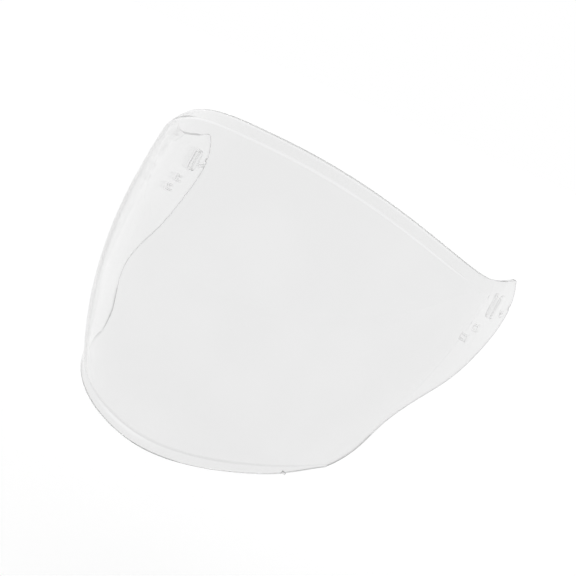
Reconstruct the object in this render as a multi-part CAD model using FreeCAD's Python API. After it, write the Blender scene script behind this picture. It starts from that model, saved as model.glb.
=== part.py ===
import FreeCAD, Part
import os
from math import comb, cos, hypot, radians, sin
from FreeCAD import Vector

os.makedirs("parts", exist_ok=True)

# Long clear screen for an open-face motorcycle helmet, in millimetres.
# It is drawn in its moulding frame, +X to the wearer's left, -Y to the front and +Z up, with the
# brow line level. At the end it is tipped back into its worn attitude, about the hook axis, which
# becomes the origin.

# Overall form of the outer surface
width_over_ears = 232.0      # across the ear line, at ear_level
wall = 2.0
front_reach = 102.2          # furthest point of the nose line, ahead of the frame's zero
front_level = -47.0          # height of that point
front_radius = 237.0         # of the nose line, seen from the side
chin_curl = 205.0            # length that sets how fast the nose line rolls back at the chin
side_radius = 320.0          # of the cheeks, seen from the front
ear_level = 13.0             # height where the cheeks are widest
ear_line = 20.0              # where the rounded front runs out into the flat ear, behind zero
ear_splay_share = 0.03       # outward lean of the ear, per length behind the ear line
ear_reach = 66.0             # furthest point of the ear, behind zero
ear_spare = 5.0              # length of the uncut ear behind that point
screen_height = 165.0        # brow line to chin line
worn_tilt = 20.0             # degrees, front up

# Plan section, one cubic from nose to ear line: handles as shares of half width and of depth
nose_brow_share = 0.42
nose_chin_share = 0.61
cheek_share = 0.324

# Heights of the brow edge and of the chin line from nose to ear tip, as shares of screen_height
brow_shares = (0.011, 0.051, 0.053, -0.024, 0.081, 0.150)
chin_shares = (-1.001, -0.948, -0.921, -0.783, -0.690, -0.747)
tip_run_share = 1.25         # place of the last share along the fan, where the ear line is 1

# Rear edge of the ear seen from the side, as shares of ear_reach and of screen_height
rear_shares = ((0.640, 0.156), (0.728, 0.147), (0.970, 0.069), (0.947, -0.100),
               (0.745, -0.276), (0.467, -0.412), (0.310, -0.562), (0.345, -0.672),
               (0.262, -0.752), (0.120, -0.812))

# Brow flange and chin lip, each meeting the wall at a crease
flange_width = 8.7
flange_lean = 3.8            # inward, at the edge
flange_fade_share = 0.30     # last part of the brow, where the lean dies out
lip_drop = 5.6
lip_tuck = 1.4               # inward, at the edge
lip_stub_share = 0.2         # of the lip that is left past the jaw corner
jaw_share = 0.955            # place of the jaw corner along the fan
lip_fade_share = 0.30        # of that, over which the lip runs out

# Vestige of the moulding gate, on the lip's edge
gate_length = 3.2
gate_proud = 0.8
gate_sunk = 1.0
gate_share = 0.755           # place along the fan

# Ear fittings on the inner face, each placed ahead of the ear's reach and above the frame's zero
seat_rise = 0.5              # flat seat, proud of the curved wall
seat_rim = 0.8               # of the seat, round the fitting's foot
hook_inset = 20.8
hook_up = 3.2
hook_length = 15.0
hook_width = 6.0
hook_slot = 2.8
hook_height = 3.4
hook_lean = 96.0             # degrees up from rearward
hook_bevel = 0.6
lug_size = 4.6
lug_height = 2.6
lug_wall = 1.3
lug_lean = 15.0
front_lug_inset = 33.4
front_lug_up = -23.2
rear_lug_inset = 27.8
rear_lug_up = -14.2
tooth_inset = 7.4
tooth_up = 4.6
tooth_length = 6.4
tooth_width = 2.0
tooth_height = 1.8
tooth_lean = 35.0
tooth_crest_share = 0.3      # of the tooth's length
notch_width = 1.8
notch_depth = 1.6
notch_up = 10.6
tip_round = 1.6
overrun = 20.0               # of every cutter

half_width = width_over_ears / 2
side_plane = -half_width - overrun
ear_run = 3 * cheek_share * (ear_line + front_reach)
fan_run = 1 + (ear_reach + ear_spare - ear_line) / ear_run
hook_back = ear_reach - hook_inset
fan_steps = 12
wall_steps = 6
nudge_share = 0.005          # step for slopes, of the fan or of the wall


def bernstein(values, share):
    order = len(values) - 1
    return sum(comb(order, i) * share**i * (1 - share)**(order - i) * v for i, v in enumerate(values))


def edge_height(shares, u):
    """Height of the brow edge or chin line, level where it crosses the nose."""
    return screen_height * bernstein((shares[0],) + shares, abs(u) / tip_run_share)


def fade(share):
    share = max(0.0, min(1.0, share))
    return share * share * (3 - 2 * share)


def outer(u, z):
    """Point of the outer surface at height z: u is 0 at the nose, 1 at the left ear line."""
    rise = z - front_level
    reach = front_reach - rise**2 / (2 * front_radius) + rise**3 / chin_curl**2
    half = half_width - (z - ear_level)**2 / (2 * side_radius)
    brow_part = 1 + z / screen_height
    nose = half * (nose_chin_share + (nose_brow_share - nose_chin_share) * brow_part)
    cheek = cheek_share * (ear_line + reach)
    if abs(u) > 1:
        past = (abs(u) - 1) * ear_run
        x, y = half + ear_splay_share * past, ear_line + past
    else:
        x = bernstein((0, nose, half - ear_splay_share * cheek, half), abs(u))
        y = bernstein((-reach, -reach, ear_line - cheek, ear_line), abs(u))
    return Vector(x if u >= 0 else -x, y, z)


def along(u, z):
    return outer(u + nudge_share, z) - outer(u - nudge_share, z)


def upward(u, z):
    return outer(u, z + nudge_share * wall) - outer(u, z - nudge_share * wall)


def outward(u, z, run):
    """Unit normal of the strip that runs along run at this place of the fan."""
    return along(u, z).cross(run).normalize()


def mitred(point, first, second):
    """Inner corner under an outer crease whose two strips have these normals."""
    middle = (first + second).normalize()
    return point - middle * (wall / middle.dot(first))


def lip_at(u):
    """Root, edge and normal of the chin lip."""
    full = fade((jaw_share - abs(u)) / (lip_fade_share * jaw_share))
    share = lip_stub_share + (1 - lip_stub_share) * full
    chin = edge_height(chin_shares, u)
    root = outer(u, chin)
    level = outward(u, chin, Vector(0, 0, 1))
    edge = root - Vector(0, 0, lip_drop * share) - level * lip_tuck * share
    return root, edge, outward(u, chin, root - edge)


def flange_at(u):
    """Crease, edge and normal of the brow flange."""
    lean = flange_lean * fade((tip_run_share - abs(u)) / (flange_fade_share * tip_run_share))
    brow = edge_height(brow_shares, u)
    crease = outer(u, brow - flange_width)
    edge = outer(u, brow) - outward(u, brow, upward(u, brow)) * lean
    return crease, edge, outward(u, brow, edge - crease)


def line(start, end):
    return Part.LineSegment(start, end).toShape()


def spline(points):
    curve = Part.BSplineCurve()
    curve.interpolate(Points=points, Parameters=[i / (len(points) - 1) for i in range(len(points))])
    return curve.toShape()


def station(u):
    """Closed section of the screen through lip, wall and flange."""
    root, lip, lip_normal = lip_at(u)
    crease, flange, flange_normal = flange_at(u)
    heights = [root.z + (crease.z - root.z) * i / wall_steps for i in range(wall_steps + 1)]
    face = [outer(u, z) for z in heights]
    normals = [outward(u, z, upward(u, z)) for z in heights]
    inner = [p - n * wall for p, n in zip(face, normals)]
    inner[0] = mitred(root, normals[0], lip_normal)
    inner[-1] = mitred(crease, normals[-1], flange_normal)
    lip_in = lip - lip_normal * wall
    flange_in = flange - flange_normal * wall
    return Part.Wire([
        line(lip, root), spline(face), line(crease, flange), line(flange, flange_in),
        line(flange_in, inner[-1]), spline(inner[::-1]), line(inner[0], lip_in), line(lip_in, lip)])


def rear_points():
    return [Vector(side_plane, y * ear_reach, z * screen_height) for y, z in rear_shares]


def rear_curve():
    curve = Part.BSplineCurve()
    curve.interpolate(rear_points())
    return curve.toShape()


def across(face):
    """Block through both ears over a face in the side view."""
    return face.extrude(Vector(-2 * side_plane, 0, 0))


def rear_cutter():
    """Everything behind the rear edge of both ears."""
    first, last = rear_points()[0], rear_points()[-1]
    back = ear_reach + ear_spare + overrun
    top = first.z + overrun
    low = -screen_height - lip_drop - overrun
    corners = [last, Vector(side_plane, last.y, low), Vector(side_plane, back, low),
               Vector(side_plane, back, top), Vector(side_plane, first.y, top), first]
    sides = [line(a, b) for a, b in zip(corners, corners[1:])]
    return across(Part.Face(Part.Wire([rear_curve()] + sides)))


def notch_cutter():
    """Round-bottomed nick in the rear edge of both ears."""
    level = line(Vector(side_plane, ear_line, notch_up), Vector(side_plane, 2 * ear_reach, notch_up))
    edge = rear_curve().distToShape(level)[1][0][0]
    bottom = Vector(side_plane, edge.y - notch_depth + notch_width / 2, notch_up)
    disc = Part.Face(Part.Wire(Part.makeCircle(notch_width / 2, bottom, Vector(1, 0, 0))))
    up, back = Vector(0, 0, notch_width / 2), Vector(0, overrun, 0)
    mouth = Part.Face(Part.makePolygon([bottom - up, bottom - up + back, bottom + up + back,
                                        bottom + up, bottom - up]))
    return across(disc).fuse(across(mouth))


def gate():
    """Trimmed stub of the moulding gate, in the middle of the lip's edge."""
    root, edge, normal = lip_at(gate_share)
    run = along(gate_share, root.z).normalize()
    down = (edge - root).normalize()
    corner = edge - normal * (wall * 3 / 4) - run * (gate_length / 2) - down * gate_sunk
    end = corner + run * gate_length
    side = normal * (wall / 2)
    face = Part.Face(Part.makePolygon([corner, end, end + side, corner + side, corner]))
    return face.extrude(down * (gate_sunk + gate_proud))


def obround(length, width):
    """Flat face with round ends, along X."""
    reach, half = (length - width) / 2, width / 2
    right = Part.Arc(Vector(reach, -half, 0), Vector(reach + half, 0, 0), Vector(reach, half, 0))
    left = Part.Arc(Vector(-reach, half, 0), Vector(-reach - half, 0, 0), Vector(-reach, -half, 0))
    return Part.Face(Part.Wire([
        line(Vector(-reach, -half, 0), Vector(reach, -half, 0)), right.toShape(),
        line(Vector(reach, half, 0), Vector(-reach, half, 0)), left.toShape()]))


def oblong(length, width):
    """Flat rectangle, longer side along X."""
    return Part.makePlane(length, width, Vector(-length / 2, -width / 2, 0))


def hook_loop():
    """Obround wall round a slot, with a bevelled crown."""
    ring = obround(hook_length, hook_width).extrude(Vector(0, 0, hook_height))
    crown = [e for e in ring.Edges if min(v.Z for v in e.Vertexes) > hook_height / 2]
    ring = ring.makeChamfer(hook_bevel, crown)
    slot = obround(hook_length - hook_width + hook_slot, hook_slot)
    return ring.cut(slot.extrude(Vector(0, 0, hook_height)))


def lug():
    """Square clip, open to the rear."""
    block = oblong(lug_size, lug_size).extrude(Vector(0, 0, lug_height))
    pocket = oblong(lug_size, lug_size - 2 * lug_wall).extrude(Vector(0, 0, lug_height))
    return block.cut(pocket.translated(Vector(lug_wall, 0, 0)))


def tooth():
    """Ramp that rises to a flat crest at its rear end."""
    half, side = tooth_length / 2, -tooth_width / 2
    crest = half - tooth_crest_share * tooth_length
    ramp = Part.makePolygon([
        Vector(-half, side, 0), Vector(half, side, 0), Vector(half, side, tooth_height),
        Vector(crest, side, tooth_height), Vector(-half, side, 0)])
    return Part.Face(ramp).extrude(Vector(0, tooth_width, 0))


def ear_x(back, up):
    return outer(1 + (back - ear_line) / ear_run, up).x


def on_ear(back, up, lean, length, width):
    """Placement of a fitting on its seat, and the depth of the seat down to the middle of the wall."""
    angle = radians(lean)
    run, side = Vector(0, cos(angle), sin(angle)), Vector(0, sin(angle), -cos(angle))
    reach, half = length / 2 + seat_rim, width / 2 + seat_rim
    corners = [run * (reach * i) + side * (half * j) for i in (-1, 0, 1) for j in (-1, 0, 1)]
    outside = [ear_x(back + c.y, up + c.z) for c in corners]
    seat_x = min(outside) - wall - seat_rise
    depth = (max(outside) - wall + min(outside)) / 2 - seat_x
    turn = FreeCAD.Rotation(run, side, Vector(-1, 0, 0), "ZXY")
    return FreeCAD.Placement(Vector(seat_x, back, up), turn), depth


def placed(shape, placement):
    shape = shape.copy()
    shape.Placement = placement
    return shape


def mirrored(shape):
    return shape.mirror(Vector(0, 0, 0), Vector(1, 0, 0))


def round_tips(screen):
    """Blunt corner where the brow edge meets the rear edge of each ear."""
    brow = [flange_at(1 + (fan_run - 1) * i / fan_steps)[1] for i in range(fan_steps + 1)]
    side_view = spline([Vector(side_plane, p.y, p.z) for p in brow])
    tip = rear_curve().distToShape(side_view)[1][0][0]
    corners = [e for e in screen.Edges if e.Length < 2 * wall
               and all(hypot(v.Y - tip.y, v.Z - tip.z) < wall for v in e.Vertexes)]
    return screen.makeFillet(tip_round, corners)


def worn(shape):
    """Tip the part into its worn attitude and bring the hook axis to the origin."""
    hook = Vector(0, hook_back, hook_up)
    shape = shape.copy()
    shape.rotate(hook, Vector(1, 0, 0), -worn_tilt)
    shape.translate(-hook)
    return shape


def main():
    stations = [station(fan_run * i / fan_steps) for i in range(-fan_steps, fan_steps + 1)]
    screen = Part.makeLoft(stations, True, False)
    screen = screen.cut(rear_cutter()).cut(notch_cutter()).Solids[0]
    screen = round_tips(screen)

    # node, solid, foot, and its place and size on the ear
    fittings = (
        ("hook_loop", hook_loop(), obround, hook_back, hook_up, hook_lean, hook_length, hook_width),
        ("front_lug", lug(), oblong, ear_reach - front_lug_inset, front_lug_up, lug_lean,
         lug_size, lug_size),
        ("rear_lug", lug(), oblong, ear_reach - rear_lug_inset, rear_lug_up, lug_lean,
         lug_size, lug_size),
        ("latch_tooth", tooth(), oblong, ear_reach - tooth_inset, tooth_up, tooth_lean,
         tooth_length, tooth_width))
    nodes = {}
    for name, solid, foot, back, up, lean, length, width in fittings:
        placement, depth = on_ear(back, up, lean, length, width)
        seat = foot(length + 2 * seat_rim, width + 2 * seat_rim).extrude(Vector(0, 0, -depth))
        seat = placed(seat, placement)
        screen = screen.fuse(seat).fuse(mirrored(seat))
        nodes["left_" + name] = placed(solid, placement)
        nodes["right_" + name] = mirrored(nodes["left_" + name])
    nodes["visor_shell"] = screen.fuse(gate()).Solids[0]

    for name, solid in nodes.items():
        solid = worn(solid)
        solid.exportStep("parts/" + name + ".step")
        print(name, "%d solid, %.1f mm3, valid %s" % (len(solid.Solids), solid.Volume, solid.isValid()))


main()
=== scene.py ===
from math import comb

import bpy
import numpy as np
from mathutils import Matrix, Vector


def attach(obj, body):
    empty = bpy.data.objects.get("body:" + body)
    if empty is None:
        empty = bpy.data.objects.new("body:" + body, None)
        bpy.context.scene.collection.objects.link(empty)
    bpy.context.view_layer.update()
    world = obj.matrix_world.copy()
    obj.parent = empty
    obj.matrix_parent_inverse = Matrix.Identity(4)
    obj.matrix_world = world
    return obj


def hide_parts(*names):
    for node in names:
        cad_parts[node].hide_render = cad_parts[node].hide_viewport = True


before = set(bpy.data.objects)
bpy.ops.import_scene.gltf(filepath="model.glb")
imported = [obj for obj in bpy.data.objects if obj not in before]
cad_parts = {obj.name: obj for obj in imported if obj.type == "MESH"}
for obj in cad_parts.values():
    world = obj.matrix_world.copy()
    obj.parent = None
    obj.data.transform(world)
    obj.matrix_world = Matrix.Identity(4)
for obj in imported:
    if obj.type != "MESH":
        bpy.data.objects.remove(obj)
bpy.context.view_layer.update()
print("frame loaded, nodes:", len(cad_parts))

# camera of the photograph, in metres
cameraView = {
    "target": (0.0, -0.07604, -0.01830),
    "right": (0.8009, 0.4566, 0.3875),
    "up": (-0.4139, -0.0455, 0.9092),
    "distance": 0.6873,
    "lens": 75.73,
    "sensor": 36.0,
    "shift": (0.03997, -0.06887),
    "clip": (0.05, 40.0),
}


def aimCamera(view):
    right = Vector(view["right"]).normalized()
    up = Vector(view["up"])
    up = (up - right * up.dot(right)).normalized()
    back = right.cross(up)
    data = bpy.data.cameras.new("photoCamera")
    data.sensor_fit = "HORIZONTAL"
    data.sensor_width = view["sensor"]
    data.lens = view["lens"]
    data.shift_x, data.shift_y = view["shift"]
    data.clip_start, data.clip_end = view["clip"]
    camera = bpy.data.objects.new("photoCamera", data)
    bpy.context.scene.collection.objects.link(camera)
    place = Vector(view["target"]) + back * view["distance"]
    camera.matrix_world = Matrix.Translation(place) @ Matrix((right, up, back)).transposed().to_4x4()
    bpy.context.scene.camera = camera


aimCamera(cameraView)
print("camera set")

# pale room: white to the camera, pale grey through the clear plastic
room = {
    "white": 1.0,
    "grey": 0.83,
    "softbox": 1.4,             # overhead, as the plastic mirrors it
    "ceiling": 0.35,            # overhead, as it shows through the plastic
    "overheadFrom": 0.35,       # sine of the height where overhead begins
    "overheadFull": 0.80,
    "backWall": 1.03,           # behind the object, as the plastic mirrors it
    "backFrom": 0.25,
    "backFull": 0.85,
    "paper": 0.98,              # the paper, as the plastic mirrors it
    "paperRight": 0.03,         # lift of the paper at the object's right, as the plastic mirrors it
    "paperLeft": 0.10,          # and at its left, far behind
    "leftFrom": -0.6,           # metres from the middle where left begins
    "leftFull": 0.6,
    "farFrom": 0.8,             # metres behind where far begins
    "farFull": 1.8,
    "paperLift": 0.02,          # lift of the paper, to the camera alone
    "floorLevel": -0.30,
    "floorHalf": 30.0,
}


def valueNode(nodes, kind, name, **settings):
    node = nodes.new(kind)
    node.name = node.label = name
    for key, value in settings.items():
        setattr(node, key, value)
    return node


def mixValues(nodes, links, name, share, low, high):
    node = valueNode(nodes, "ShaderNodeMix", name)
    links.new(share, node.inputs["Factor"])
    for socket, value in (("A", low), ("B", high)):
        if isinstance(value, float):
            node.inputs[socket].default_value = value
        else:
            links.new(value, node.inputs[socket])
    return node.outputs["Result"]


def shareBetween(nodes, links, name, value, low, high):
    node = valueNode(nodes, "ShaderNodeMapRange", name, interpolation_type="SMOOTHSTEP")
    node.inputs["From Min"].default_value = low
    node.inputs["From Max"].default_value = high
    links.new(value, node.inputs["Value"])
    return node.outputs["Result"]


def paintRoom(look):
    world = bpy.data.worlds.new("paleRoom")
    bpy.context.scene.world = world
    world.use_nodes = True
    nodes, links = world.node_tree.nodes, world.node_tree.links
    nodes.clear()
    out = valueNode(nodes, "ShaderNodeOutputWorld", "out")
    light = valueNode(nodes, "ShaderNodeBackground", "roomLight")
    light.inputs["Color"].default_value = (1.0, 1.0, 1.0, 1.0)
    rays = valueNode(nodes, "ShaderNodeLightPath", "rays")
    direction = valueNode(nodes, "ShaderNodeTexCoord", "direction")
    parts = valueNode(nodes, "ShaderNodeSeparateXYZ", "parts")
    links.new(direction.outputs["Generated"], parts.inputs["Vector"])
    overhead = shareBetween(nodes, links, "overhead", parts.outputs["Z"],
                            look["overheadFrom"], look["overheadFull"])
    behind = shareBetween(nodes, links, "behind", parts.outputs["Y"], look["backFrom"], look["backFull"])
    wall = mixValues(nodes, links, "backWall", behind, look["white"], look["backWall"])
    mirrored = mixValues(nodes, links, "mirrored", overhead, wall, look["softbox"])
    through = mixValues(nodes, links, "through", overhead, look["grey"], look["ceiling"])
    tone = mixValues(nodes, links, "mirroredOrPlain", rays.outputs["Is Glossy Ray"], look["white"], mirrored)
    tone = mixValues(nodes, links, "throughOrNot", rays.outputs["Is Transmission Ray"], tone, through)
    tone = mixValues(nodes, links, "whiteToCamera", rays.outputs["Is Camera Ray"], tone, look["white"])
    links.new(tone, light.inputs["Strength"])
    links.new(light.outputs["Background"], out.inputs["Surface"])


def layFloor(look):
    half, level = look["floorHalf"], look["floorLevel"]
    mesh = bpy.data.meshes.new("paleFloor")
    mesh.from_pydata([(-half, -half, level), (half, -half, level), (half, half, level),
                      (-half, half, level)], [], [(0, 1, 2, 3)])
    floor = bpy.data.objects.new("paleFloor", mesh)
    bpy.context.scene.collection.objects.link(floor)
    material = bpy.data.materials.new("palePaper")
    material.use_nodes = True
    nodes, links = material.node_tree.nodes, material.node_tree.links
    nodes.clear()
    out = valueNode(nodes, "ShaderNodeOutputMaterial", "out")
    paper = valueNode(nodes, "ShaderNodeBsdfDiffuse", "paper")
    rays = valueNode(nodes, "ShaderNodeLightPath", "rays")
    place = valueNode(nodes, "ShaderNodeTexCoord", "place")
    parts = valueNode(nodes, "ShaderNodeSeparateXYZ", "parts")
    links.new(place.outputs["Object"], parts.inputs["Vector"])
    left = shareBetween(nodes, links, "toTheLeft", parts.outputs["X"], look["leftFrom"], look["leftFull"])
    far = shareBetween(nodes, links, "farBehind", parts.outputs["Y"], look["farFrom"], look["farFull"])
    tone = mixValues(nodes, links, "plainOrMirrored", rays.outputs["Is Glossy Ray"],
                     look["white"], look["paper"])
    tone = mixValues(nodes, links, "throughOrNot", rays.outputs["Is Transmission Ray"], tone, look["grey"])
    grey = valueNode(nodes, "ShaderNodeCombineColor", "paperTone")
    for channel in ("Red", "Green", "Blue"):
        links.new(tone, grey.inputs[channel])
    links.new(grey.outputs["Color"], paper.inputs["Color"])
    lift = valueNode(nodes, "ShaderNodeEmission", "lift")
    # lift of the paper: none through the plastic, little to the camera
    amount = mixValues(nodes, links, "liftAtLeft", far, 0.0, look["paperLeft"])
    amount = mixValues(nodes, links, "mirroredLift", left, look["paperRight"], amount)
    amount = mixValues(nodes, links, "seenMirrored", rays.outputs["Is Glossy Ray"], 0.0, amount)
    amount = mixValues(nodes, links, "notThrough", rays.outputs["Is Transmission Ray"], amount, 0.0)
    amount = mixValues(nodes, links, "seenByCamera", rays.outputs["Is Camera Ray"], amount, look["paperLift"])
    links.new(amount, lift.inputs["Strength"])
    both = valueNode(nodes, "ShaderNodeAddShader", "paperAndLift")
    links.new(paper.outputs["BSDF"], both.inputs[0])
    links.new(lift.outputs["Emission"], both.inputs[1])
    links.new(both.outputs["Shader"], out.inputs["Surface"])
    mesh.materials.append(material)


paintRoom(room)
layFloor(room)
bpy.context.scene.view_settings.view_transform = "Standard"
print("room and floor set")

# clear injection-moulded plastic, with the faint flow marks and handling haze of a used screen
clearPlastic = {
    "bright": 1.0, "dull": 0.985, "ior": 1.58, "clear": 1.0, "haze": (0.0, 0.02),
    # glint is the glow of a painted highlight at the creases, shade the share of colour lost in their painted
    # shade
    "flow": 22.0, "grain": 240.0, "ripple": 0.04, "glint": 0.05, "shade": 0.22,
}
# the rim plastic is half milky white so that the rim shows lighter: painted light; its painted shade at the
# creases is stronger than the wall's
rimPaintedLightAndShade = {
    "bright": 1.0, "dull": 0.95, "ior": 1.07, "clear": 0.50, "haze": (0.05, 0.15),
    "flow": 90.0, "grain": 900.0, "ripple": 0.02, "glint": 0.05, "shade": 0.45,
}
smallMoulding = {
    "bright": 1.0, "dull": 0.98, "ior": 1.16, "clear": 1.0, "haze": (0.02, 0.08),
    "flow": 160.0, "grain": 900.0, "ripple": 0.06, "glint": 0.0, "shade": 0.0,
}
# darker plastic for the fittings' round edges: painted shade that outlines them
fittingEdgePaintedShade = {
    "bright": 0.68, "dull": 0.60, "ior": 1.16, "clear": 1.0, "haze": (0.05, 0.12),
    "flow": 160.0, "grain": 900.0, "ripple": 0.02, "glint": 0.0, "shade": 0.0,
}
# a seat is one with the wall, so it bends light hardly more than the wall does already
seatMoulding = {
    "bright": 1.0, "dull": 0.99, "ior": 1.015, "clear": 1.0, "haze": (0.0, 0.04),
    "flow": 160.0, "grain": 900.0, "ripple": 0.02, "glint": 0.0, "shade": 0.0,
}
# noise of the flow marks and of the haze, the same in every plastic
plasticNoise = {
    "flowDetail": 3.0,
    "grainDetail": 2.0,
    "flowSpan": (0.35, 0.65),   # of the noise, from bright to dull
    "grainSpan": (0.4, 0.75),   # of the noise, from clear to hazy
    "rippleDepth": 0.001,
}


def mixColours(nodes, links, name, share, low, high):
    node = valueNode(nodes, "ShaderNodeMix", name, data_type="RGBA")
    links.new(share, node.inputs["Factor"])
    for socket, value in (("A", low), ("B", high)):
        if isinstance(value, float):
            node.inputs[socket].default_value = (value, value, value, 1.0)
        else:
            links.new(value, node.inputs[socket])
    return node.outputs["Result"]


def noiseMarks(nodes, links, place, name, scale, detail):
    noise = valueNode(nodes, "ShaderNodeTexNoise", name)
    noise.inputs["Scale"].default_value = scale
    noise.inputs["Detail"].default_value = detail
    links.new(place, noise.inputs["Vector"])
    return noise.outputs["Fac"]


def mixClearPlastic(name, look):
    material = bpy.data.materials.new(name)
    material.use_nodes = True
    nodes, links = material.node_tree.nodes, material.node_tree.links
    shader = nodes["Principled BSDF"]
    shader.inputs["Transmission Weight"].default_value = look["clear"]
    shader.inputs["IOR"].default_value = look["ior"]
    place = valueNode(nodes, "ShaderNodeTexCoord", "place").outputs["Object"]
    flow = noiseMarks(nodes, links, place, "flow", look["flow"], plasticNoise["flowDetail"])
    grain = noiseMarks(nodes, links, place, "grain", look["grain"], plasticNoise["grainDetail"])
    flowShare = shareBetween(nodes, links, "flowShare", flow, *plasticNoise["flowSpan"])
    tone = mixColours(nodes, links, "flowTone", flowShare, look["bright"], look["dull"])

    # painted highlight and painted shade at the creases: they glow a little where their value is above zero
    # and their colour is darker below it
    crease = valueNode(nodes, "ShaderNodeAttribute", "paintedCreaseShading", attribute_name="paintedCreaseShading").outputs["Fac"]
    glintShare = shareBetween(nodes, links, "glintShare", crease, 0.0, 1.0)
    glint = mixValues(nodes, links, "glint", glintShare, 0.0, look["glint"])
    links.new(glint, shader.inputs["Emission Strength"])
    shader.inputs["Emission Color"].default_value = (1.0, 1.0, 1.0, 1.0)
    shadeShare = shareBetween(nodes, links, "shadeShare", crease, 0.0, -1.0)
    tone = mixColours(nodes, links, "creasePaintedShade", shadeShare, tone, 1 - look["shade"])
    links.new(tone, shader.inputs["Base Color"])

    hazeShare = shareBetween(nodes, links, "hazeShare", grain, *plasticNoise["grainSpan"])
    links.new(mixValues(nodes, links, "haze", hazeShare, *look["haze"]), shader.inputs["Roughness"])
    ripple = valueNode(nodes, "ShaderNodeBump", "ripple")
    ripple.inputs["Strength"].default_value = look["ripple"]
    ripple.inputs["Distance"].default_value = plasticNoise["rippleDepth"]
    links.new(flow, ripple.inputs["Height"])
    links.new(ripple.outputs["Normal"], shader.inputs["Normal"])
    return material


shellPlastic = mixClearPlastic("shellPlastic", clearPlastic)
edgePlastic = mixClearPlastic("edgePlastic", rimPaintedLightAndShade)
fittingPlastic = mixClearPlastic("fittingPlastic", smallMoulding)
fittingEdgePlastic = mixClearPlastic("fittingEdgePlastic", fittingEdgePaintedShade)
seatPlastic = mixClearPlastic("seatPlastic", seatMoulding)
print("plastics mixed")

# the screen, in millimetres, in the frame in which its ears stand level
screen = {
    "wall": 2.0,
    "halfWidth": 116.0,
    "frontReach": 102.2,        # furthest point of the nose line, ahead of zero
    "frontLevel": -47.0,        # height of that point
    "frontRadius": 237.0,       # of the nose line, seen from the side
    "chinCurl": 205.0,
    "sideRadius": 320.0,        # of the cheeks, seen from the front
    "earLevel": 13.0,           # height where the cheeks are widest
    "earLine": 20.0,            # where the front runs out into the ear, behind zero
    "earSplay": 0.03,
    "earReach": 66.0,
    "height": 165.0,
    "noseBrow": 0.42,           # how flat the front is round the nose, at the brow
    "noseChin": 0.61,           # and at the chin
    "cheek": 0.324,             # how long the cheek's run is, as a share of the front
    # heights of the brow edge and of the chin line from nose to ear tip, as shares of the height
    "brow": (0.011, 0.011, 0.051, 0.053, -0.024, 0.081, 0.150),
    "chin": (-1.001, -1.001, -0.948, -0.921, -0.783, -0.690, -0.747),
    "tipRun": 1.25,             # place along the fan where those heights end
    # rear edge of the ear in side view, as shares of the ear's reach and of the height
    "rear": ((0.640, 0.156), (0.728, 0.147), (0.970, 0.069), (0.947, -0.100), (0.745, -0.276),
             (0.467, -0.412), (0.310, -0.562), (0.345, -0.672), (0.262, -0.752), (0.120, -0.812)),
    "flange": 8.7,
    "flangeLean": 3.8,          # of the brow edge, inwards
    "flangeFade": 0.30,         # share of the run over which the lean fades out
    "lipDrop": 5.6,
    "lipTuck": 1.4,
    "lipStub": 0.2,             # share of the lip that stays on past the jaw
    "jaw": 0.955,               # place along the fan where the lip has faded out
    "lipFade": 0.30,
    "browBend": 1.3,            # length of the soft bend on each side of the crease
    "lipBendShare": 0.12,       # of the lip, on each side of its root
    "rimRound": 0.4,
    "tipRound": 1.6,
    "nickUp": 10.6,
    "nickWidth": 1.8,
    "nickDepth": 1.6,
    "tilt": 20.0,               # degrees, front up
    "hook": (45.2, 3.2),        # behind and above zero
}
# small steps for slopes, along the fan and up the wall, and the search for the rear edge
fine = {
    "around": 0.004,
    "up": 0.05,
    "rearPoints": 3000,
    "rearFrom": 0.6,
    "rearTo": 1.45,
    "halvings": 40,
    "nickSlack": 0.001,         # in millimetres, past the nick's half width
}


def bernstein(values, share):
    order = len(values) - 1
    return sum(comb(order, i) * share**i * (1 - share)**(order - i) * v for i, v in enumerate(values))


def edgeHeight(values, u):
    return screen["height"] * bernstein(values, np.abs(u) / screen["tipRun"])


def fade(share):
    share = np.clip(share, 0.0, 1.0)
    return share * share * (3 - 2 * share)


earRun = 3 * screen["cheek"] * (screen["earLine"] + screen["frontReach"])


def outerFace(u, z):
    u, z = np.broadcast_arrays(np.asarray(u, float), np.asarray(z, float))
    rise = z - screen["frontLevel"]
    reach = screen["frontReach"] - rise**2 / (2 * screen["frontRadius"]) + rise**3 / screen["chinCurl"]**2
    half = screen["halfWidth"] - (z - screen["earLevel"])**2 / (2 * screen["sideRadius"])
    flat = screen["noseChin"] + (screen["noseBrow"] - screen["noseChin"]) * (1 + z / screen["height"])
    nose = half * flat
    line = screen["earLine"]
    cheek = screen["cheek"] * (line + reach)
    around = np.minimum(np.abs(u), 1.0)
    past = np.maximum(np.abs(u) - 1, 0.0) * earRun
    x = bernstein((0, nose, half - screen["earSplay"] * cheek, half), around) + screen["earSplay"] * past
    y = bernstein((-reach, -reach, line - cheek, line), around) + past
    return np.stack([np.where(u < 0, -x, x), y, z], axis=-1)


def unit(v):
    return v / np.linalg.norm(v, axis=-1, keepdims=True)


def faceNormal(u, z):
    side = outerFace(u + fine["around"], z) - outerFace(u - fine["around"], z)
    rise = outerFace(u, z + fine["up"]) - outerFace(u, z - fine["up"])
    return unit(np.cross(side, rise))


def levelNormal(u, z):
    side = outerFace(u + fine["around"], z) - outerFace(u - fine["around"], z)
    return unit(np.cross(side, np.array([0.0, 0.0, 1.0])))


def lipDepth(u):
    # the grid stops one rim radius short of each true edge
    full = fade((screen["jaw"] - np.abs(u)) / (screen["lipFade"] * screen["jaw"]))
    return screen["lipStub"] + (1 - screen["lipStub"]) * full - screen["rimRound"] / screen["lipDrop"]


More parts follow.
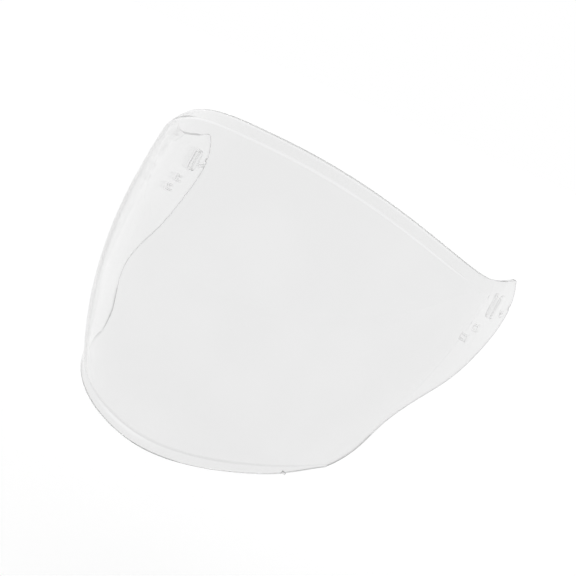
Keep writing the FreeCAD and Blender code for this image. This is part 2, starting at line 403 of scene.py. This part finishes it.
def lipRow(u, share):
    # share 0 is the lip's edge and 1 its root
    root = outerFace(u, edgeHeight(screen["chin"], u))
    depth = lipDepth(u)
    down = np.stack([0 * depth, 0 * depth, screen["lipDrop"] * depth], axis=-1)
    tuck = levelNormal(u, root[..., 2]) * (screen["lipTuck"] * depth)[..., None]
    return root - (down + tuck) * (1 - share)


def wallRow(u, share):
    low = edgeHeight(screen["chin"], u)
    high = edgeHeight(screen["brow"], u) - screen["flange"]
    return outerFace(u, low + (high - low) * share)


def flangeRow(u, share):
    # share 0 is the crease and 1 the brow edge
    brow = edgeHeight(screen["brow"], u)
    fadeRun = screen["flangeFade"] * screen["tipRun"]
    lean = screen["flangeLean"] * fade((screen["tipRun"] - np.abs(u)) / fadeRun)
    edge = outerFace(u, brow) - faceNormal(u, brow) * lean[..., None]
    share = share * (1 - screen["rimRound"] / screen["flange"])
    return outerFace(u, brow - screen["flange"]) * (1 - share) + edge * share


def naturalSpline(points, count):
    # through the points, by chord length, with free ends
    points = np.array(points, float)
    steps = np.linalg.norm(np.diff(points, axis=0), axis=1)
    knots = np.concatenate([[0], np.cumsum(steps)])
    size = len(points)
    matrix, right = np.eye(size), np.zeros((size, points.shape[1]))
    for i in range(1, size - 1):
        before, after = steps[i - 1], steps[i]
        matrix[i, i - 1:i + 2] = before, 2 * (before + after), after
        right[i] = 6 * ((points[i + 1] - points[i]) / after - (points[i] - points[i - 1]) / before)
    bend = np.linalg.solve(matrix, right)
    places = np.linspace(0, knots[-1], count)
    spans = np.clip(np.searchsorted(knots, places, side="right") - 1, 0, size - 2)
    a = ((knots[spans + 1] - places) / steps[spans])[:, None]
    b = 1 - a
    width = (steps[spans]**2)[:, None]
    return (a * points[spans] + b * points[spans + 1]
            + ((a**3 - a) * bend[spans] + (b**3 - b) * bend[spans + 1]) * width / 6)


rearLine = naturalSpline([(y * screen["earReach"], z * screen["height"]) for y, z in screen["rear"]],
                         fine["rearPoints"])


def rearBehind(point):
    # how far a point lies behind the rear edge at its own height, in side view
    y = np.interp(-point[..., 2], -rearLine[:, 1], rearLine[:, 0])
    return point[..., 1] - y


def rearMeeting(row, share):
    # place along the fan where a row meets the rear edge
    low, high = fine["rearFrom"], fine["rearTo"]
    for _ in range(fine["halvings"]):
        middle = (low + high) / 2
        if rearBehind(row(np.array(middle), share)) < 0:
            low = middle
        else:
            high = middle
    return (low + high) / 2


# seats of the fittings on the ears: behind, above, lean, length, width, round ends
seats = {
    "hookLoop": (45.2, 3.2, 96.0, 15.0, 6.0, True),
    "frontLug": (32.6, -23.2, 15.0, 4.6, 4.6, False),
    "rearLug": (38.2, -14.2, 15.0, 4.6, 4.6, False),
    "latchTooth": (58.6, 4.6, 35.0, 6.4, 2.0, False),
}
seatShape = {"rise": 0.5, "rim": 0.8, "soft": 0.5, "sunk": 0.04, "root": 0.5}
# degrees of each round edge at which it has points, and the number of points on a seat's corner
roundSteps = {"rim": (30, 60, 90), "softTop": (0, 30, 60, 90), "corner": 6}


def earX(y, z):
    return outerFace(1 + (y - screen["earLine"]) / earRun, z)[..., 0]


def moulded(middle, run, side, down, length, width, corner, levels):
    # closed block from rounded outlines, one to each depth and inset
    turns = np.radians(np.linspace(0, 90, roundSteps["corner"]))
    points, faces = [], []
    for depth, inset in levels:
        for i, j, quarter in ((1, 1, 0), (-1, 1, 1), (-1, -1, 2), (1, -1, 3)):
            for t in turns + quarter * np.pi / 2:
                along = i * (length / 2 - corner) + np.cos(t) * (corner - inset)
                across = j * (width / 2 - corner) + np.sin(t) * (corner - inset)
                points.append(middle + down * depth + run * along + side * across)
    size = 4 * len(turns)
    for k in range(len(levels) - 1):
        for i in range(size):
            j = (i + 1) % size
            faces.append((k * size + i, k * size + j, (k + 1) * size + j, (k + 1) * size + i))
    faces.append(tuple(range(size))[::-1])
    faces.append(tuple((len(levels) - 1) * size + i for i in range(size)))
    return np.array(points), faces


def softTop(height, size):
    # depths and insets of a rounded top edge
    turns = np.radians(roundSteps["softTop"])
    return [(height - size * (1 - np.sin(t)), size * (1 - np.cos(t))) for t in turns]


def seatBlocks():
    # flat raised seat under each fitting, rooted in the wall
    blocks = []
    for back, up, lean, length, width, roundEnds in seats.values():
        turn = np.radians(lean)
        run, side = np.array([np.cos(turn), np.sin(turn)]), np.array([np.sin(turn), -np.cos(turn)])
        reach, half = length / 2 + seatShape["rim"], width / 2 + seatShape["rim"]
        corners = [(back, up) + run * reach * i + side * half * j for i in (-1, 0, 1) for j in (-1, 0, 1)]
        faceX = [earX(*corner) for corner in corners]
        plane = min(faceX) - screen["wall"] - seatShape["rise"]
        root = max(faceX) - screen["wall"] + seatShape["root"]
        rounding = half if roundEnds else seatShape["rim"]
        levels = [(0.0, 0.0)] + softTop(root - plane + seatShape["sunk"], seatShape["soft"])
        for hand in (1, -1):
            middle, inward = np.array([hand * root, back, up]), np.array([-hand, 0, 0])
            blocks.append(moulded(middle, np.array([0, *run]), hand * np.array([0, *side]), inward,
                                  2 * reach, 2 * half, rounding, levels))
    return blocks


# stub of the moulding gate on the lip's edge, trimmed off short
gateStub = {"share": 0.755, "length": 3.2, "proud": 0.8, "sunk": 1.0, "soft": 0.25}


def gateBlock(stub):
    place = np.array(stub["share"])
    root, edge = lipRow(place, 1.0), lipRow(place, 0.0)
    out, down = levelNormal(place, root[2]), unit(edge - root)
    middle = edge - out * screen["wall"] / 2 + down * (screen["rimRound"] - stub["sunk"])
    levels = [(0.0, 0.0)] + softTop(stub["sunk"] + stub["proud"], stub["soft"])
    return moulded(middle, unit(np.cross(out, down)), out, down, stub["length"], screen["wall"] / 2,
                   stub["soft"], levels)


def bendRow(first, corner, last, share):
    # soft bend between two rows, round the corner where they would meet
    def row(u, _):
        return (1 - share)**2 * first(u) + 2 * share * (1 - share) * corner(u) + share**2 * last(u)
    return row, 0.0


# where the painted highlights and painted shades of the creases run, as places along the fan: -1 is the right
# ear, 1 the left
paintedShadingRuns = {
    "lipPaintedHighlight": {"most": 1.15, "middle": -0.12, "half": 0.05, "fading": 0.25},
    "lipEdgePaintedShade": {"most": 1.0, "middle": 0.12, "half": 0.08, "fading": 0.12},
    "lipEdgePaintedHighlight": {"most": 1.0, "middle": 0.58, "half": 0.15, "fading": 0.1},
    "brow": {"most": 1.0, "middle": 0.0, "half": 0.6, "fading": 0.35},
}
paintedShadingEnds = {
    "lipShadeFrom": 0.8,
    "lipShadeFading": 0.15,
    "rightJawFrom": 0.72,
    "rightJawFading": 0.1,
    "rightJawMost": 1.3,
    "paintedHighlightMost": 1.4,
    "rowEndFrom": 0.975,        # as a share of the row
    "rowEndFading": 0.02,
}


def within(places, run):
    return run["most"] - fade((np.abs(places - run["middle"]) - run["half"]) / run["fading"])


# how strong a row's painted highlight or painted shade is at each place along it; end is where the row ends
def lipPaintedHighlight(places, end):
    return within(places, paintedShadingRuns["lipPaintedHighlight"])


def lipRootPaintedShade(places, end):
    return 1 - fade((places - paintedShadingEnds["lipShadeFrom"]) / paintedShadingEnds["lipShadeFading"])


def lipEdgePaintedShading(places, end):
    # painted shade below the chin and at the right jaw, painted highlight toward the left one
    jaw = fade((-places - paintedShadingEnds["rightJawFrom"]) / paintedShadingEnds["rightJawFading"])
    dark = within(places, paintedShadingRuns["lipEdgePaintedShade"]) + paintedShadingEnds["rightJawMost"] * jaw
    return dark - paintedShadingEnds["paintedHighlightMost"] * within(places, paintedShadingRuns["lipEdgePaintedHighlight"])


def rowEndPaintedShade(places, end):
    return fade((np.abs(places) / end - paintedShadingEnds["rowEndFrom"]) / paintedShadingEnds["rowEndFading"])


def browPaintedHighlight(places, end):
    return within(places, paintedShadingRuns["brow"])


# rows of the mesh, each with its place on the lip, bend or flange and the strength of its painted highlight
# (above zero) or painted shade (below zero)
lipRows = ((0.16, 0.0), (0.36, 0.05), (0.58, 0.2), (0.8, 0.5), (1.0, 0.6))
lipBendPaintedHighlight = (0.2, 0.3)
lipBendPaintedShade = ((0.4, -0.4), (0.6, -0.9), (0.8, -0.4))
browBendRows = ((0.17, 0.0), (0.34, 0.5), (0.5, 1.0), (0.66, 0.5), (0.83, 0.0))
flangeRows = ((0.22, 0.0), (0.36, 0.0), (0.5, 0.0), (0.62, 0.0), (0.74, 0.0), (0.82, 0.2),
              (0.88, 0.6), (0.93, 0.8), (0.965, 0.5), (0.985, 0.2))
browEdgeRows = (0.996, 1.0)
# painted shade along the rim at the lip's edge (with a painted highlight toward the left jaw), the jaw, the
# nick and the brow tip; jawUpTo is the share of the wall up to which the jaw's shade runs
edgePaintedShading = {"lip": -0.7, "jaw": -0.9, "nick": -0.9, "browTip": -0.7, "jawUpTo": 0.2}
# rows up the wall and columns from the nose to each ear, as shares of their run
wallRows = {"turn": 0.62, "below": 46, "above": 50, "rounding": 5}
nickRows = {"from": 0.85, "tries": 40, "clear": 0.003, "span": 2.0, "shoulder": 0.12, "steps": (0.95, 0.5)}
columnShares = {"turn": 0.68, "front": 54, "ear": 44, "earEnd": 0.98, "last": (0.9865, 0.9925, 1.0)}
nickPull = 60       # power that keeps the nick's pull on the last columns


def screenRows():
    lipEnd = 1 - screen["lipBendShare"]
    browEnd = screen["browBend"] / screen["flange"]

    def lipTop(u):
        return lipRow(u, lipEnd)

    def root(u):
        return lipRow(u, 1.0)

    def wallFoot(u):
        return outerFace(u, edgeHeight(screen["chin"], u) + (1 - lipEnd) * screen["lipDrop"] * lipDepth(u))

    def crease(u):
        return wallRow(u, 1.0)

    def wallTop(u):
        return outerFace(u, edgeHeight(screen["brow"], u) - screen["flange"] - screen["browBend"])

    def flangeFoot(u):
        return flangeRow(u, browEnd)

    def between(share):
        def row(u, _):
            low, high = wallFoot(u)[..., 2], wallTop(u)[..., 2]
            return outerFace(u, low + (high - low) * share)
        return row, 0.0

    # the lip and its root
    bendLight, bendMark = lipBendPaintedHighlight
    rows = [(lipRow, 0.0, edgePaintedShading["lip"], lipEdgePaintedShading)]
    rows += [(lipRow, s * lipEnd, mark, lipPaintedHighlight) for s, mark in lipRows]
    rows.append((*bendRow(lipTop, root, wallFoot, bendLight), bendMark, lipPaintedHighlight))
    rows += [(*bendRow(lipTop, root, wallFoot, s), mark, lipRootPaintedShade) for s, mark in lipBendPaintedShade]

    # the wall, with the rows near the nick moved to its own heights
    below = np.linspace(0, wallRows["turn"], wallRows["below"])
    above = np.linspace(wallRows["turn"], 1.0, wallRows["above"])
    levels = sorted(set(below.round(wallRows["rounding"])) | set(above.round(wallRows["rounding"])))
    tries = np.linspace(nickRows["from"], 1.0, nickRows["tries"])
    heights = [rearPoint(*between(s))[1] for s in tries]
    half = screen["nickWidth"] / 2 + screen["rimRound"]
    lower = (nickRows["span"], half + nickRows["shoulder"], half, *nickRows["steps"])
    offsets = [-dz for dz in lower] + [0.0] + list(lower[::-1])
    nick = [np.interp(screen["nickUp"] + dz, heights, tries) for dz in offsets]
    first, last = nick[0] - nickRows["clear"], nick[-1] + nickRows["clear"]
    levels = sorted([s for s in levels if s < first or s > last] + nick)
    for s in levels:
        mark = edgePaintedShading["jaw"] if s < edgePaintedShading["jawUpTo"] else 0.0
        mark = edgePaintedShading["nick"] if nick[1] < s < nick[-2] else mark
        rows.append((*between(s), mark, rowEndPaintedShade))

    # the brow crease and the flange
    rows += [(*bendRow(wallTop, crease, flangeFoot, s), mark, browPaintedHighlight) for s, mark in browBendRows]
    rows += [(flangeRow, s, mark, browPaintedHighlight) for s, mark in ((browEnd, 0.0), *flangeRows)]
    rows += [(flangeRow, s, edgePaintedShading["browTip"], rowEndPaintedShade) for s in browEdgeRows]
    return rows


def rearPoint(row, share):
    return row(np.array(rearMeeting(row, share)), share)[1:]


def earShares():
    front = np.linspace(0, columnShares["turn"], columnShares["front"])
    ear = np.linspace(columnShares["turn"], columnShares["earEnd"], columnShares["ear"])[1:]
    half = np.concatenate([front, ear, columnShares["last"]])
    return np.concatenate([-half[:0:-1], half])


def rearTrim(row, share):
    # places along the fan where a row ends: the nick and the blunt brow tip are taken off
    end = rearMeeting(row, share)
    back, up = row(np.array(end), share)[1:]
    dz = abs(up - screen["nickUp"])
    half = screen["nickWidth"] / 2 + screen["rimRound"]
    inNick = dz <= half + fine["nickSlack"]
    nick = screen["nickDepth"] - half + np.sqrt(max(half**2 - dz**2, 0)) if inNick else 0.0
    tip = 0.0
    if row is flangeRow:
        near = (1 - share) * screen["flange"]
        size = screen["tipRound"] - screen["rimRound"]
        tip = size - np.sqrt(max(size**2 - (size - near)**2, 0)) if near < size else 0.0
    return end - (tip + screen["rimRound"]) / earRun, nick / earRun


def screenGrid():
    shares = earShares()
    grid, marks = [], []
    for row, share, mark, strength in screenRows():
        end, nick = rearTrim(row, share)
        places = shares * end - np.sign(shares) * nick * np.abs(shares)**nickPull
        grid.append(row(places, share))
        # the row's painted highlight (above zero) or painted shade (below zero) at each place
        marks.append(mark * strength(places, end))
    return np.array(grid), np.array(marks)


def gridNormals(grid):
    along, up = np.gradient(grid, axis=1), np.gradient(grid, axis=0)
    return unit(np.cross(along, up))


def toWorn(points):
    back, up = screen["hook"]
    turn = np.radians(screen["tilt"])
    y, z = points[..., 1] - back, points[..., 2] - up
    turned = [points[..., 0], y * np.cos(turn) + z * np.sin(turn), -y * np.sin(turn) + z * np.cos(turn)]
    return np.stack(turned, axis=-1) / 1000


def rimLoop(rows, columns):
    # the boundary of the grid, once round: chin, left ear, brow, right ear
    chin = [(0, c) for c in range(columns)]
    left = [(r, columns - 1) for r in range(1, rows)]
    brow = [(rows - 1, c) for c in range(columns - 2, -1, -1)]
    right = [(r, 0) for r in range(rows - 2, 0, -1)]
    return chin + left + brow + right


def rimRings(grid, normals, loop):
    # round edge of the wall, ring by ring from its outer face to its inner one
    wall, size = screen["wall"], screen["rimRound"]
    rim = np.array([grid[place] for place in loop])
    rimNormals = np.array([normals[place] for place in loop])
    along = unit(np.roll(rim, -1, axis=0) - np.roll(rim, 1, axis=0))
    out = unit(np.cross(along, rimNormals))
    arc = np.radians(roundSteps["rim"])
    depths = list(size * (1 - np.cos(arc))) + [wall / 2] + list(wall - size * (1 - np.cos(arc[::-1])))
    reaches = list(size * np.sin(arc)) + [size] + list(size * np.sin(arc[::-1]))
    return [rim - rimNormals * d + out * i for d, i in zip(depths, reaches)]


def wallFaces(rows, columns):
    # outer and inner face of the wall
    count, faces = rows * columns, []
    for r in range(rows - 1):
        for c in range(columns - 1):
            a, b = r * columns + c, (r + 1) * columns + c
            faces.append((a, a + 1, b + 1, b))
            faces.append((count + a, count + b, count + b + 1, count + a + 1))
    return faces


def rimFaces(loop, columns, count, rings):
    # bands from the outer face over the rings to the inner face
    around = len(loop)
    outer = [r * columns + c for r, c in loop]
    between = [[2 * count + k * around + i for i in range(around)] for k in range(rings)]
    bands = [outer, *between, [count + i for i in outer]]
    faces = []
    for before, after in zip(bands, bands[1:]):
        for i in range(around):
            j = (i + 1) % around
            faces.append((before[j], before[i], after[i], after[j]))
    return faces


def buildScreen():
    grid, marks = screenGrid()
    normals = gridNormals(grid)
    rows, columns = grid.shape[:2]
    count, loop = rows * columns, rimLoop(rows, columns)
    rings = rimRings(grid, normals, loop)
    points = [grid.reshape(-1, 3), (grid - normals * screen["wall"]).reshape(-1, 3)] + rings
    blocks, blockFaces = [gateBlock(gateStub)] + seatBlocks(), []
    gateFaces = len(blocks[0][1])
    for corners, sides in blocks:
        first = sum(len(part) for part in points)
        points.append(corners)
        blockFaces += [tuple(first + i for i in face) for face in sides]
    points = toWorn(np.concatenate(points))

    walls, edges = wallFaces(rows, columns), rimFaces(loop, columns, count, len(rings))
    faces = walls + edges + blockFaces
    mesh = bpy.data.meshes.new("clearScreen")
    mesh.from_pydata([tuple(p) for p in points], [], faces)
    mesh.polygons.foreach_set("use_smooth", [True] * len(mesh.polygons))
    for plastic in (shellPlastic, edgePlastic, seatPlastic):
        mesh.materials.append(plastic)
    # the gate stub has the wall's plastic, the seats their own
    slots = [0] * len(walls) + [1] * len(edges) + [0] * gateFaces + [2] * (len(blockFaces) - gateFaces)
    mesh.polygons.foreach_set("material_index", slots)
    # the painted highlights and painted shades of the creases, on the outer and inner face and on the rim
    creases = mesh.attributes.new("paintedCreaseShading", "FLOAT", "POINT")
    values = np.zeros(len(points), np.float32)
    values[:count] = values[count:2 * count] = marks.ravel()
    values[2 * count:2 * count + len(rings) * len(loop)] = [marks[place] for place in loop] * len(rings)
    creases.data.foreach_set("value", values)
    print("screen mesh:", rows, "rows", columns, "columns", len(faces), "faces, rim from", len(walls))
    piece = bpy.data.objects.new("clearScreen", mesh)
    bpy.context.scene.collection.objects.link(piece)
    return piece


clearScreen = buildScreen()
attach(clearScreen, "root")
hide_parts("visor_shell")
print("screen built")

# in metres and radians
fittingEdge = {"weld": 0.00001, "round": 0.00025, "segments": 3, "angle": 0.6}


def finishFitting(node, look):
    node.data.materials.clear()
    for plastic in (fittingPlastic, fittingEdgePlastic):
        node.data.materials.append(plastic)
    weld = node.modifiers.new("weld", "WELD")
    weld.merge_threshold = look["weld"]
    bevel = node.modifiers.new("softEdges", "BEVEL")
    bevel.width = look["round"]
    bevel.segments = look["segments"]
    bevel.limit_method = "ANGLE"
    bevel.angle_limit = look["angle"]
    bevel.use_clamp_overlap = True
    # the round edges get the darker plastic: painted shade along the fittings' edges
    bevel.material = 1


for name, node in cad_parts.items():
    if name != "visor_shell":
        finishFitting(node, fittingEdge)
print("fittings finished")
